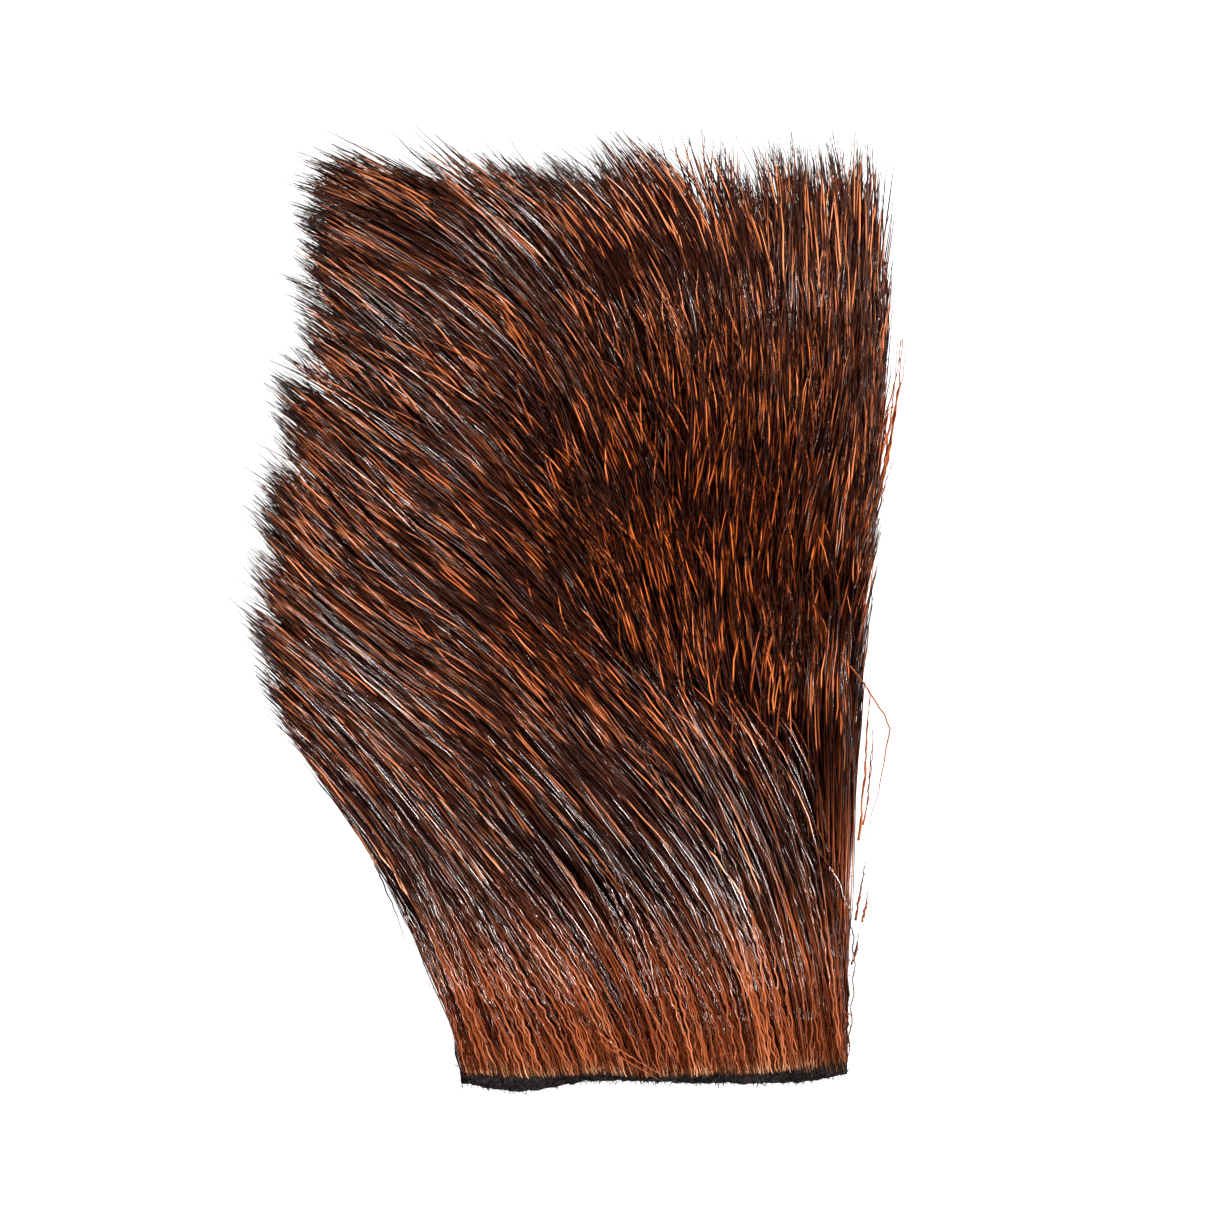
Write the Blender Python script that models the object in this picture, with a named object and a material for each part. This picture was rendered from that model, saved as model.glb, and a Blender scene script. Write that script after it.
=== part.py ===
"""Deer hair patch: a hand-cut piece of dyed hide that lies flat, with its coat of hair.

The hide's flat underside is at Z = 0. The hair grows from the lower cut edge, at -Y, towards +Y,
and fans out to the left, at -X. The right side is a straight cut along the lie of the hair.
Lengths in the tables are in millimetres, and the finished patch is moved so that the middle of its
footprint is at the origin.
"""

import math
import random
from collections import namedtuple

import bmesh
import bpy
import numpy as np
from mathutils import Vector, noise

MM = 0.001

# Driving sizes
HIDE_THICKNESS = 1.5
HIDE_UNEVENNESS = 0.15
HIDE_WAVE_ACROSS = 53.0
HIDE_WAVE_ALONG = 67.0
COAT_GAP = 0.3
HAIR_LENGTH = 43.5
PILE_HEIGHT = 8.8
ROOT_THICKNESS = 0.8
RIM_THICKNESS = 1.9
UNDERSIDE_SHARE = 0.93
SIDE_ROUNDING = 2.0
SIDE_DROP = 0.9
STANDING_HEIGHT = 3.1
DROOP = 2.0
DROOP_REACH = 25.0
RIDGE_HEIGHT = 0.6
RIDGE_SPACING = 4.6
RIDGE_REACH = 9.0
RIDGE_STEPS = 7
LOCK_LENGTH = 6.4
LOCK_SPREAD = 0.35
LOCK_RISE = -0.12
LOCK_SEED = 7
LOCK_SHOULDER = 0.55
LOCK_TIP = 0.12

# How a hair rises: the share of the pile's height at each share of its full length.
RISE_PLACES = (0.0, 0.05, 0.12, 0.22, 0.35, 0.50, 0.75, 1.0, 1.2)
RISE_SHARES = (0.0, 0.17, 0.36, 0.57, 0.73, 0.83, 0.89, 0.95, 1.0)
ROOT_STEP = 1.5
ROOT_MARGIN = 0.9

# The tips stand up right of the middle, between these places across and up.
STANDING_ACROSS = (-9.0, 8.0)
STANDING_FROM = (-16.0, 2.0)
STANDING_UNTIL = (26.0, 44.0)

COAT_COLUMNS = 32
COAT_ROWS = 40
HIDE_COLUMNS = 14
HIDE_ROWS = 22

Point = namedtuple("Point", "x y")

# The hide's cut outline, side by side. Each side runs upwards or to the right.
HIDE_LOWER_EDGE = (
    Point(-11.8, -52.7),
    Point(-5.5, -53.6),
    Point(2.4, -52.5),
    Point(10.7, -52.6),
    Point(20.9, -52.7),
    Point(27.2, -52.4),
    Point(30.8, -51.7),
)
HIDE_LEFT_EDGE = (
    Point(-11.8, -52.7),
    Point(-12.7, -46.6),
    Point(-11.5, -25.0),
    Point(-9.0, 0.0),
    Point(-5.0, 27.0),
)
HIDE_UPPER_EDGE = (
    Point(-5.0, 27.0),
    Point(8.0, 21.5),
    Point(20.0, 14.5),
    Point(31.8, 11.0),
)
HIDE_RIGHT_EDGE = (
    Point(30.8, -51.7),
    Point(31.0, -28.0),
    Point(31.0, -3.0),
    Point(31.8, 11.0),
)

# The outline of the coat behind its rim locks, in the same order.
COAT_LOWER_EDGE = (
    Point(-11.2, -51.5),
    Point(-5.1, -52.0),
    Point(4.0, -51.6),
    Point(8.5, -52.0),
    Point(14.5, -51.8),
    Point(21.6, -51.6),
    Point(30.7, -50.3),
)
COAT_LEFT_EDGE = (
    Point(-11.2, -51.5),
    Point(-12.9, -46.6),
    Point(-16.2, -36.4),
    Point(-21.6, -25.5),
    Point(-27.6, -15.5),
    Point(-30.2, -5.0),
    Point(-30.6, 4.5),
    Point(-28.0, 18.0),
    Point(-25.2, 28.0),
    Point(-23.6, 38.0),
    Point(-22.8, 46.6),
)
COAT_UPPER_EDGE = (
    Point(-22.8, 46.6),
    Point(-12.0, 46.0),
    Point(-1.5, 44.3),
    Point(7.0, 47.6),
    Point(14.5, 47.2),
    Point(19.5, 44.6),
    Point(24.0, 47.4),
    Point(33.8, 47.4),
)
COAT_RIGHT_EDGE = (
    Point(30.7, -50.3),
    Point(31.3, -38.0),
    Point(31.7, -27.0),
    Point(31.8, -12.0),
    Point(31.5, -3.0),
    Point(32.2, 7.5),
    Point(33.6, 19.0),
    Point(34.4, 30.0),
    Point(34.6, 38.0),
    Point(33.8, 47.4),
)
# Below this height on the left edge the side is a bundle of shafts, with no rim locks.
FIRST_LEFT_LOCK = -20.0

# How far the hair leans to the left of straight up, in degrees, where it lies at each height.
LEAN_COLUMNS = (-29.0, -16.0, -3.0, 10.0, 21.0, 31.0)
Lean = namedtuple("Lean", "height a b c d e f")
LEAN_ROWS = (
    Lean(-52.0, 14.0, 16.0, 22.0, 20.0, 8.0, 2.0),
    Lean(-38.0, 28.0, 28.0, 33.0, 30.0, 16.0, 3.0),
    Lean(-26.0, 42.0, 44.0, 42.0, 36.0, 20.0, 3.0),
    Lean(-15.0, 48.0, 50.0, 45.0, 37.0, 17.0, 0.0),
    Lean(-4.0, 48.0, 55.0, 45.0, 23.0, 3.0, -5.0),
    Lean(7.0, 44.0, 54.0, 41.0, 17.0, -7.0, -13.0),
    Lean(19.0, 49.0, 49.0, 33.0, 13.0, -7.0, -9.0),
    Lean(31.0, 55.0, 52.0, 35.0, 17.0, -2.0, -3.0),
    Lean(47.0, 67.0, 60.0, 46.0, 34.0, 8.0, 0.0),
)

Finish = namedtuple("Finish", "colour roughness metallic")
HIDE_FINISH = Finish((0.012, 0.011, 0.012, 1.0), 0.9, 0.0)
HAIR_FINISH = Finish((0.115, 0.036, 0.014, 1.0), 0.45, 0.0)


def along(points, share):
    """The place at a share of the way along a row of points, on a smooth curve through them."""
    xs = np.array([point.x for point in points])
    ys = np.array([point.y for point in points])
    reach = np.concatenate(([0.0], np.cumsum(np.hypot(np.diff(xs), np.diff(ys)))))
    reach /= reach[-1]
    return np.array((smooth_through(reach, xs, share), smooth_through(reach, ys, share)))


def smooth_through(places, values, at):
    """A cubic through the values whose slope at each one is the mean slope beside it."""
    slopes = np.gradient(values, places)
    i = int(np.clip(np.searchsorted(places, at) - 1, 0, len(places) - 2))
    width = places[i + 1] - places[i]
    t = (at - places[i]) / width
    start = (2 * t**3 - 3 * t**2 + 1) * values[i] + (t**3 - 2 * t**2 + t) * width * slopes[i]
    end = (3 * t**2 - 2 * t**3) * values[i + 1] + (t**3 - t**2) * width * slopes[i + 1]
    return start + end


def patch_point(sides, across, up):
    """The place inside four sides: lower, left, upper and right, at shares of the way over."""
    lower, left, upper, right = sides
    between_rows = (1 - up) * along(lower, across) + up * along(upper, across)
    between_columns = (1 - across) * along(left, up) + across * along(right, up)
    corners = (
        (1 - across) * (1 - up) * along(lower, 0.0)
        + across * (1 - up) * along(lower, 1.0)
        + (1 - across) * up * along(upper, 0.0)
        + across * up * along(upper, 1.0)
    )
    return between_rows + between_columns - corners


def lean_at(x, y):
    """The hair's lean at a place, in radians to the left of straight up."""
    heights = [row.height for row in LEAN_ROWS]
    by_row = [np.interp(x, LEAN_COLUMNS, row[1:]) for row in LEAN_ROWS]
    return math.radians(np.interp(y, heights, by_row))


def lie_at(x, y):
    """The direction in which the hair lies at a place, from root to tip."""
    lean = lean_at(x, y)
    return np.array((-math.sin(lean), math.cos(lean)))


def ridge_at(x, y):
    """Raised locks that run with the hair: noise that is averaged along its lie, from -1 to 1."""
    total = noise.noise(Vector((x, y, 0.0)) / RIDGE_SPACING)
    for way in (-1.0, 1.0):
        place = np.array((x, y))
        for _ in range(RIDGE_STEPS):
            place = place + way * lie_at(*place) * RIDGE_REACH / RIDGE_STEPS
            total += noise.noise(Vector((place[0], place[1], 0.0)) / RIDGE_SPACING)
    return float(np.clip(total / math.sqrt(RIDGE_STEPS), -1.0, 1.0))


def hide_top(x, y):
    """The height of the hide's upper face, which is a little uneven."""
    turn = 2 * math.pi
    wave = math.sin(turn * x / HIDE_WAVE_ACROSS) * math.cos(turn * y / HIDE_WAVE_ALONG)
    return HIDE_THICKNESS + HIDE_UNEVENNESS * wave


def outside_hide(x, y, outline):
    """How far a place lies outside the hide's outline, and 0 over the hide."""
    place = np.array((x, y))
    ends = np.roll(outline, -1, axis=0)
    runs = ends - outline
    share = np.clip(np.sum((place - outline) * runs, axis=1) / np.sum(runs**2, axis=1), 0.0, 1.0)
    nearest = outline + runs * share[:, None]
    crossed = (outline[:, 1] > y) != (ends[:, 1] > y)
    rise = np.where(crossed, runs[:, 1], 1.0)
    meets = outline[:, 0] + (y - outline[:, 1]) / rise * runs[:, 0]
    inside = np.count_nonzero(crossed & (x < meets)) % 2 == 1
    return 0.0 if inside else float(np.min(np.hypot(*(place - nearest).T)))


def hide_outline():
    """The hide's four sides as one closed ring of points, counter-clockwise."""
    ring = HIDE_LOWER_EDGE[:-1] + HIDE_RIGHT_EDGE[:-1] + HIDE_UPPER_EDGE[:0:-1] + HIDE_LEFT_EDGE[:0:-1]
    return np.array(ring)


def smooth_step(value, low, high):
    share = min(max((value - low) / (high - low), 0.0), 1.0)
    return share * share * (3 - 2 * share)


def standing_at(x, y):
    """How far the tips stand up at a place, from 0 to 1."""
    up = smooth_step(y, *STANDING_FROM) * (1 - smooth_step(y, *STANDING_UNTIL))
    return smooth_step(x, *STANDING_ACROSS) * up


def root_reaches(x, y, outline):
    """How far back along the lie the nearest and the farthest root of the hair at a place lie."""
    place = np.array((x, y))
    reaches = []
    for step in range(int(HAIR_LENGTH / ROOT_STEP) + 1):
        if outside_hide(*place, outline) < ROOT_MARGIN:
            reaches.append(step * ROOT_STEP)
        place = place - lie_at(*place) * ROOT_STEP
    return (reaches[0], reaches[-1]) if reaches else (HAIR_LENGTH, HAIR_LENGTH)


def rise_at(reach):
    """The height of a hair over its root, at some way along it."""
    return PILE_HEIGHT * float(np.interp(reach / HAIR_LENGTH, RISE_PLACES, RISE_SHARES))


def coat_heights(x, y, across, up, outline):
    """The heights of the coat's underside and top at a place."""
    near, far = root_reaches(x, y, outline)
    grown = rise_at(far) / PILE_HEIGHT
    width = COAT_RIGHT_EDGE[0].x - COAT_LEFT_EDGE[0].x
    from_side = min(across * width, (1 - across) * width, SIDE_ROUNDING)
    shoulder = (1 - from_side / SIDE_ROUNDING) ** 2 * SIDE_DROP * grown
    sunk = DROOP * (outside_hide(x, y, outline) / DROOP_REACH) ** 2
    floor = hide_top(x, y) + COAT_GAP
    top = hide_top(x, y) + rise_at(far) + STANDING_HEIGHT * standing_at(x, y)
    top += RIDGE_HEIGHT * ridge_at(x, y) * grown - shoulder - sunk
    top = max(top, floor + ROOT_THICKNESS)
    under = floor if near == 0.0 else hide_top(x, y) + rise_at(near) * UNDERSIDE_SHARE - sunk
    rim = ROOT_THICKNESS + (RIM_THICKNESS - ROOT_THICKNESS) * grown
    return max(floor, min(under, top - rim)), top


def slab(columns, rows, sides, heights):
    """A closed slab between an underside and a top, with the faces of its four walls."""
    bm = bmesh.new()
    layers = ([], [])
    for row in range(rows + 1):
        for column in range(columns + 1):
            across, up = column / columns, row / rows
            x, y = patch_point(sides, across, up)
            for layer, z in zip(layers, heights(x, y, across, up)):
                layer.append(bm.verts.new(Vector((x, y, z)) * MM))
    under, top = layers

    def at(column, row):
        return row * (columns + 1) + column

    for row in range(rows):
        for column in range(columns):
            ring = (at(column, row), at(column + 1, row), at(column + 1, row + 1), at(column, row + 1))
            bm.faces.new([top[i] for i in ring])
            bm.faces.new([under[i] for i in reversed(ring)])

    def wall(ids):
        return [bm.faces.new((under[a], under[b], top[b], top[a])) for a, b in zip(ids, ids[1:])]

    lower_ids = [at(column, 0) for column in range(columns + 1)]
    right_ids = [at(columns, row) for row in range(rows + 1)]
    upper_ids = [at(column, rows) for column in reversed(range(columns + 1))]
    left_ids = [at(0, row) for row in reversed(range(rows + 1))]
    walls = [wall(ids) for ids in (lower_ids, right_ids, upper_ids, left_ids)]
    return bm, walls


def draw_lock(bm, face, length):
    """Draws a wall face out along the lie of the hair into a tapering four-sided lock."""
    middle = face.calc_center_median()
    lie = lie_at(middle.x / MM, middle.y / MM)
    half_way = Vector((lie[0], lie[1], LOCK_RISE)).normalized() * length / 2 * MM
    for size in (LOCK_SHOULDER, LOCK_TIP / LOCK_SHOULDER):
        face = bmesh.ops.extrude_discrete_faces(bm, faces=[face])["faces"][0]
        middle = face.calc_center_median()
        for vert in face.verts:
            vert.co = middle + half_way + (vert.co - middle) * size


def add_object(name, bm, finish, collection, parent):
    """Makes an object with its own material from a finished mesh."""
    mesh = bpy.data.meshes.new(name)
    bm.to_mesh(mesh)
    bm.free()
    piece = bpy.data.objects.new(name, mesh)
    collection.objects.link(piece)
    piece.parent = parent
    material = bpy.data.materials.new(name + "_finish")
    material.use_nodes = True
    shader = material.node_tree.nodes["Principled BSDF"]
    shader.inputs["Base Color"].default_value = finish.colour
    shader.inputs["Roughness"].default_value = finish.roughness
    shader.inputs["Metallic"].default_value = finish.metallic
    mesh.materials.append(material)
    return piece


def make_hide():
    """The cut hide: one flat sheet, a little uneven on top and flat underneath."""
    sides = (HIDE_LOWER_EDGE, HIDE_LEFT_EDGE, HIDE_UPPER_EDGE, HIDE_RIGHT_EDGE)
    bm, _ = slab(HIDE_COLUMNS, HIDE_ROWS, sides, lambda x, y, across, up: (0.0, hide_top(x, y)))
    return bm


def make_coat():
    """The coat of hair: a lumpy slab that rises from the roots, with locks at its left and top."""
    outline = hide_outline()
    sides = (COAT_LOWER_EDGE, COAT_LEFT_EDGE, COAT_UPPER_EDGE, COAT_RIGHT_EDGE)

    def heights(x, y, across, up):
        return coat_heights(x, y, across, up, outline)

    bm, walls = slab(COAT_COLUMNS, COAT_ROWS, sides, heights)
    rim = walls[2] + [face for face in walls[3] if face.calc_center_median().y / MM > FIRST_LEFT_LOCK]
    chance = random.Random(LOCK_SEED)
    for face in rim:
        draw_lock(bm, face, LOCK_LENGTH * (1 + LOCK_SPREAD * chance.uniform(-1.0, 1.0)))
    return bm


def centre_footprint(pieces, holder):
    """Moves the patch so that the middle of its footprint is at the origin."""
    corners = np.array([vert.co[:2] for piece in pieces for vert in piece.data.vertices])
    middle = (corners.min(axis=0) + corners.max(axis=0)) / 2
    holder.location = (-middle[0], -middle[1], 0.0)


def main():
    for old in list(bpy.data.objects):
        bpy.data.objects.remove(old, do_unlink=True)
    collection = bpy.data.collections.new("deer_hair_patch")
    bpy.context.scene.collection.children.link(collection)
    holder = bpy.data.objects.new("patch_origin", None)
    collection.objects.link(holder)
    hide = add_object("hide", make_hide(), HIDE_FINISH, collection, holder)
    coat = add_object("hair_coat", make_coat(), HAIR_FINISH, collection, holder)
    centre_footprint((hide, coat), holder)


main()
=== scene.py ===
"""Looks of a cut deer hair patch: the suede hide and its coat of single hairs, on a pale floor.

Tables are in millimetres, in the drawn layout of the hide's outline: X runs to the patch's
straight-cut side, and Y from the hide's lower cut edge towards the tips of the hair. DRAWN_ORIGIN
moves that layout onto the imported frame. A share runs from 0 to 1.
"""

import math
from collections import namedtuple

import bpy
import numpy as np
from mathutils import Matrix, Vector, kdtree


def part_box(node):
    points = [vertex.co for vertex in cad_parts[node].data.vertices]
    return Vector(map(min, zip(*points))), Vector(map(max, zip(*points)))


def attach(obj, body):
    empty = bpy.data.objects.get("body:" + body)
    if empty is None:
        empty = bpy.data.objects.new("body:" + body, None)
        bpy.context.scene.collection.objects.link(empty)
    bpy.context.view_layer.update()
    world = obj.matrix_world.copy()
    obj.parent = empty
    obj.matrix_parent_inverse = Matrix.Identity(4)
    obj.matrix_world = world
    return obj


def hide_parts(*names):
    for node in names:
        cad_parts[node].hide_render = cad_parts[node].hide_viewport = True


bl_info = {
    "name": "Deer Hair Patch",
    "version": (1, 0, 0),
    "blender": (4, 5, 0),
    "location": "3D View > Sidebar > Hair Patch",
    "description": "Makes a cut patch of dyed deer hide with its coat of single hairs",
    "category": "Add Mesh",
}

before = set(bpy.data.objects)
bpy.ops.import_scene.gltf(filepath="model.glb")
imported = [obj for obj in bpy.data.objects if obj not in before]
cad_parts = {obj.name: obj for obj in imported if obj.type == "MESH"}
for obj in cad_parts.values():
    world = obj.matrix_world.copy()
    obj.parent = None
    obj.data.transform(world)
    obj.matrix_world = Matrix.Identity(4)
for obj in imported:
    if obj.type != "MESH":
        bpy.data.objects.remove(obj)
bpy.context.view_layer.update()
HIDE_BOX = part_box("hide")

MM = 0.001

# The upper right corner of the hide's box as drawn, which DRAWN_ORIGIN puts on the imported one.
HIDE_REACH = (31.8, 27.0)
DRAWN_ORIGIN = np.array([HIDE_BOX[1][i] / MM - HIDE_REACH[i] for i in (0, 1)])

# The hide's cut outline, side by side. Each side runs upwards or to the right.
HIDE_LOWER_EDGE = (
    (-11.8, -52.7), (-5.5, -53.6), (2.4, -52.5), (10.7, -52.6), (20.9, -52.7),
    (27.2, -52.4), (30.8, -51.7),
)
HIDE_LEFT_EDGE = ((-11.8, -52.7), (-12.7, -46.6), (-11.5, -25.0), (-9.0, 0.0), (-5.0, 27.0))
HIDE_UPPER_EDGE = ((-5.0, 27.0), (8.0, 21.5), (20.0, 14.5), (31.8, 11.0))
HIDE_RIGHT_EDGE = ((30.8, -51.7), (31.0, -28.0), (31.0, -3.0), (31.8, 11.0))
HIDE_SIDES = (HIDE_LOWER_EDGE, HIDE_LEFT_EDGE, HIDE_UPPER_EDGE, HIDE_RIGHT_EDGE)

# Where the roots begin, above a bare rim of suede along the lower cut edge.
ROOT_LINE = (
    (-11.6, -51.7), (-5.1, -52.1), (4.0, -51.7), (8.5, -52.1), (14.5, -51.9),
    (21.6, -51.7), (30.8, -50.4),
)

# How far the tips reach, anticlockwise from the lower left corner.
TIP_OUTLINE = (
    (-13.4, -52.0), (33.0, -52.0), (33.4, -3.0), (34.6, 12.0), (35.6, 28.0), (35.8, 40.0),
    (34.6, 52.4), (32.2, 53.4), (29.6, 53.6), (27.6, 53.0), (24.6, 52.0), (22.4, 53.4),
    (21.2, 50.4), (19.4, 48.8), (17.0, 50.4), (14.6, 52.4), (11.6, 53.6), (8.4, 53.6),
    (5.8, 54.6), (3.6, 52.6), (0.8, 50.8), (-3.6, 49.0), (-12.0, 50.0), (-20.0, 50.6),
    (-28.4, 52.0), (-29.4, 44.0), (-29.9, 38.6), (-29.6, 31.6), (-32.8, 24.6), (-33.2, 16.0),
    (-35.2, 9.6), (-35.8, 2.0), (-35.0, -2.4), (-34.6, -8.6), (-32.8, -13.4), (-28.6, -19.0),
    (-24.4, -24.6), (-22.0, -31.0), (-18.0, -40.0), (-16.0, -46.0),
)

# How far the hair leans left of straight up, in degrees, for each height and place across.
LEAN_ACROSS = (-29, -16, -3, 10, 21, 29, 34)
LEAN_ROWS = (
    (-52, (12, 12, 18, 17, 9, 3, 0)),
    (-38, (22, 23, 31, 28, 16, 4, 0)),
    (-26, (34, 36, 42, 36, 21, 5, 0)),
    (-15, (45, 48, 45, 37, 17, 2, 1)),
    (-4, (48, 55, 45, 23, 3, -5, -1)),
    (7, (44, 54, 41, 16, -5, -11, -8)),
    (19, (49, 49, 33, 13, -2, -8, -6)),
    (31, (55, 52, 35, 17, 5, -3, -3)),
    (47, (67, 60, 46, 30, 13, 1, 0)),
)

HIDE_THICKNESS = 1.5
# The waves in the hide's upper face: their depth, and their lengths in X and Y.
HIDE_UNEVENNESS, HIDE_WAVE_ACROSS, HIDE_WAVE_ALONG = 0.15, 53.0, 67.0

SEED = 41
FULL_TURN = 2 * math.pi

# Multiples of these fill the stretch from 0 to 1 evenly, in one direction and in two.
EVEN_STEP = 0.6180339887
EVEN_STEPS_2D = (0.7548776662, 0.569840291)


class Wire:
    """One output of a node. Sums of wires and numbers add the Math nodes that work them out."""

    def __init__(self, look, socket):
        self.look = look
        self.socket = socket

    def maths(self, operation, *values):
        values = values or (self,)
        return self.look.node("ShaderNodeMath", {"operation": operation}, dict(enumerate(values)))

    def __add__(self, other):
        return self.maths("ADD", self, other)

    __radd__ = __add__

    def __sub__(self, other):
        return self.maths("SUBTRACT", self, other)

    def __rsub__(self, other):
        return self.maths("SUBTRACT", other, self)

    def __mul__(self, other):
        return self.maths("MULTIPLY", self, other)

    __rmul__ = __mul__

    def __truediv__(self, other):
        return self.maths("DIVIDE", self, other)

    def __gt__(self, other):
        return self.maths("GREATER_THAN", self, other)

    def floor(self):
        return self.maths("FLOOR")

    def held(self):
        """The value held between 0 and 1."""
        return self.look.node("ShaderNodeClamp", None, {"Value": self})

    def beside(self, name):
        """Another output of the same node."""
        return Wire(self.look, self.socket.node.outputs[name])


# Past the point, multiples of the square root of each of these fill the stretch from 0 to 1 evenly.
CHANCE_ROOTS = (3, 5, 7, 11, 13, 17, 19)

# The colour sockets of a Mix node, by number because its other sockets have the same names.
MIX_SHARE, MIX_FIRST, MIX_SECOND, MIX_RESULT = 0, 6, 7, 2


class Look:
    """A material under construction."""

    def __init__(self, name):
        self.material = bpy.data.materials.new(name)
        self.material.use_nodes = True
        self.tree = self.material.node_tree
        self.tree.nodes.clear()

    def node(self, kind, settings=None, inputs=None, output=0):
        """Adds a node of a type: its settings first, then the values or links of its sockets."""
        made = self.tree.nodes.new(kind)
        for key, value in (settings or {}).items():
            setattr(made, key, value)
        for key, value in (inputs or {}).items():
            if isinstance(value, Wire):
                self.tree.links.new(value.socket, made.inputs[key])
            else:
                made.inputs[key].default_value = value
        return Wire(self, made.outputs[output]) if made.outputs else made

    def ramp(self, stops, value):
        """A colour for each value, between stops that are a place and a colour each."""
        made = self.node("ShaderNodeValToRGB", None, {"Fac": value})
        elements = made.socket.node.color_ramp.elements
        while len(elements) < len(stops):
            elements.new(1.0)
        for element, (place, colour) in zip(elements, stops):
            element.position = place
            element.color = (*colour, 1.0)
        return made

    def level(self, stops, value):
        """A number for each value, between stops that are a place and a number each."""
        return self.ramp([(place, (number,) * 3) for place, number in stops], value)

    @staticmethod
    def chance(value, draw):
        """An evenly spread number from 0 to 1 for each whole value, another one for each draw."""
        return (value * math.sqrt(CHANCE_ROOTS[draw])).maths("FRACT")

    def colour(self, red, green, blue):
        """A colour of three worked-out parts."""
        return self.node("ShaderNodeCombineColor", None, {0: red, 1: green, 2: blue})

    def mix(self, share, first, second, blend="MIX"):
        """A mix of two colours."""
        settings = {"data_type": "RGBA", "blend_type": blend, "clamp_factor": True}
        inputs = {MIX_SHARE: share, MIX_FIRST: first, MIX_SECOND: second}
        return self.node("ShaderNodeMix", settings, inputs, MIX_RESULT)

    def noise(self, scale, detail, vector):
        """Soft noise with features of about 1 over scale metres."""
        inputs = {"Scale": scale, "Detail": detail, "Vector": vector}
        return self.node("ShaderNodeTexNoise", None, inputs)

    def bake_place(self):
        """The share of the way along the hair, and the number of its colour band."""
        bake_map = self.node("ShaderNodeUVMap", {"uv_map": BAKE_MAP})
        place = self.node("ShaderNodeSeparateXYZ", None, {"Vector": bake_map})
        return place, (place.beside("Y") * COLOUR_BANDS).floor()

    def surface(self, **inputs):
        """Closes the material with a Principled shader."""
        named = {key.replace("_", " "): value for key, value in inputs.items()}
        shader = self.node("ShaderNodeBsdfPrincipled", None, named)
        self.node("ShaderNodeOutputMaterial", None, {"Surface": shader})
        return self.material


class PatchSizes(bpy.types.PropertyGroup):
    """Sizes of the patch that a user would change."""

    hair_count: bpy.props.IntProperty(
        name="Hairs", description="Single hairs that grow evenly from the hide", default=13900, min=100
    )
    hair_length: bpy.props.FloatProperty(
        name="Hair length", description="Length of a full-grown hair", default=0.0435, unit="LENGTH"
    )
    hair_width: bpy.props.FloatProperty(
        name="Hair width", description="Thickness of a hair", default=0.000176, unit="LENGTH"
    )
    pile_height: bpy.props.FloatProperty(
        name="Pile height", description="Rise of a full-grown hair", default=0.0085, unit="LENGTH"
    )
    tuft_pull: bpy.props.FloatProperty(
        name="Tuft pull", description="How closely tips form tufts", default=0.6, subtype="FACTOR"
    )
    lock_pull: bpy.props.FloatProperty(
        name="Lock pull", description="How closely tufts form locks", default=0.45, subtype="FACTOR"
    )
    standing: bpy.props.FloatProperty(
        name="Standing tips", description="Extra height in the middle", default=0.0065, unit="LENGTH"
    )
    droop: bpy.props.FloatProperty(
        name="Droop", description="How far hair beyond the hide sinks", default=0.002, unit="LENGTH"
    )


class PatchColours(bpy.types.PropertyGroup):
    """Colours of the patch that a user would change."""

    hide: bpy.props.FloatVectorProperty(
        name="Hide", description="Dyed suede", default=(0.0019, 0.0014, 0.0014), subtype="COLOR"
    )
    shaft: bpy.props.FloatVectorProperty(
        name="Shaft", description="Lower part of a hair", default=(0.15, 0.034, 0.01), subtype="COLOR"
    )
    band: bpy.props.FloatVectorProperty(
        name="Band", description="Band near the tip", default=(0.37, 0.072, 0.01), subtype="COLOR"
    )
    dark: bpy.props.FloatVectorProperty(
        name="Dark", description="Dark middle and tip", default=(0.013, 0.0028, 0.0017), subtype="COLOR"
    )


def smooth_step(value, low, high):
    """A share that rises smoothly from 0 at low to 1 at high."""
    share = np.clip((value - low) / (high - low), 0.0, 1.0)
    return share * share * (3.0 - 2.0 * share)


def along(points, share):
    """Places at shares of the way along a row of points, on a smooth curve through them."""
    points = np.array(points, float)
    reach = np.concatenate(([0.0], np.cumsum(np.hypot(*np.diff(points, axis=0).T))))
    reach /= reach[-1]
    slopes = np.gradient(points, reach, axis=0)
    share = np.atleast_1d(share)
    i = np.clip(np.searchsorted(reach, share) - 1, 0, len(points) - 2)
    width = (reach[i + 1] - reach[i])[:, None]
    t = (share[:, None] - reach[i][:, None]) / width
    start = (2 * t**3 - 3 * t**2 + 1) * points[i] + (t**3 - 2 * t**2 + t) * width * slopes[i]
    end = (3 * t**2 - 2 * t**3) * points[i + 1] + (t**3 - t**2) * width * slopes[i + 1]
    return start + end


def ring_of(sides):
    """Four sides as one anticlockwise ring."""
    lower, left, upper, right = (np.array(side) for side in sides)
    return np.concatenate((lower[:-1], right[:-1], upper[:0:-1], left[:0:-1]))


def area_of(ring):
    """The area inside a closed ring of points."""
    after = np.roll(ring, -1, axis=0)
    return abs(np.sum(ring[:, 0] * after[:, 1] - after[:, 0] * ring[:, 1])) / 2


def inside(places, ring):
    """Which of the places lie inside a closed ring of points."""
    starts = np.array(ring)
    ends = np.roll(starts, -1, axis=0)
    x, y = places[:, :1], places[:, 1:]
    crossed = (starts[:, 1] > y) != (ends[:, 1] > y)
    rise = np.where(starts[:, 1] == ends[:, 1], 1.0, ends[:, 1] - starts[:, 1])
    meets = starts[:, 0] + (y - starts[:, 1]) / rise * (ends[:, 0] - starts[:, 0])
    return np.count_nonzero(crossed & (x < meets), axis=1) % 2 == 1


def hide_top(places):
    """The height of the hide's upper face, which is a little uneven."""
    wave_across = np.sin(FULL_TURN * places[..., 0] / HIDE_WAVE_ACROSS)
    wave_along = np.cos(FULL_TURN * places[..., 1] / HIDE_WAVE_ALONG)
    return HIDE_THICKNESS + HIDE_UNEVENNESS * (wave_across * wave_along)


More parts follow.
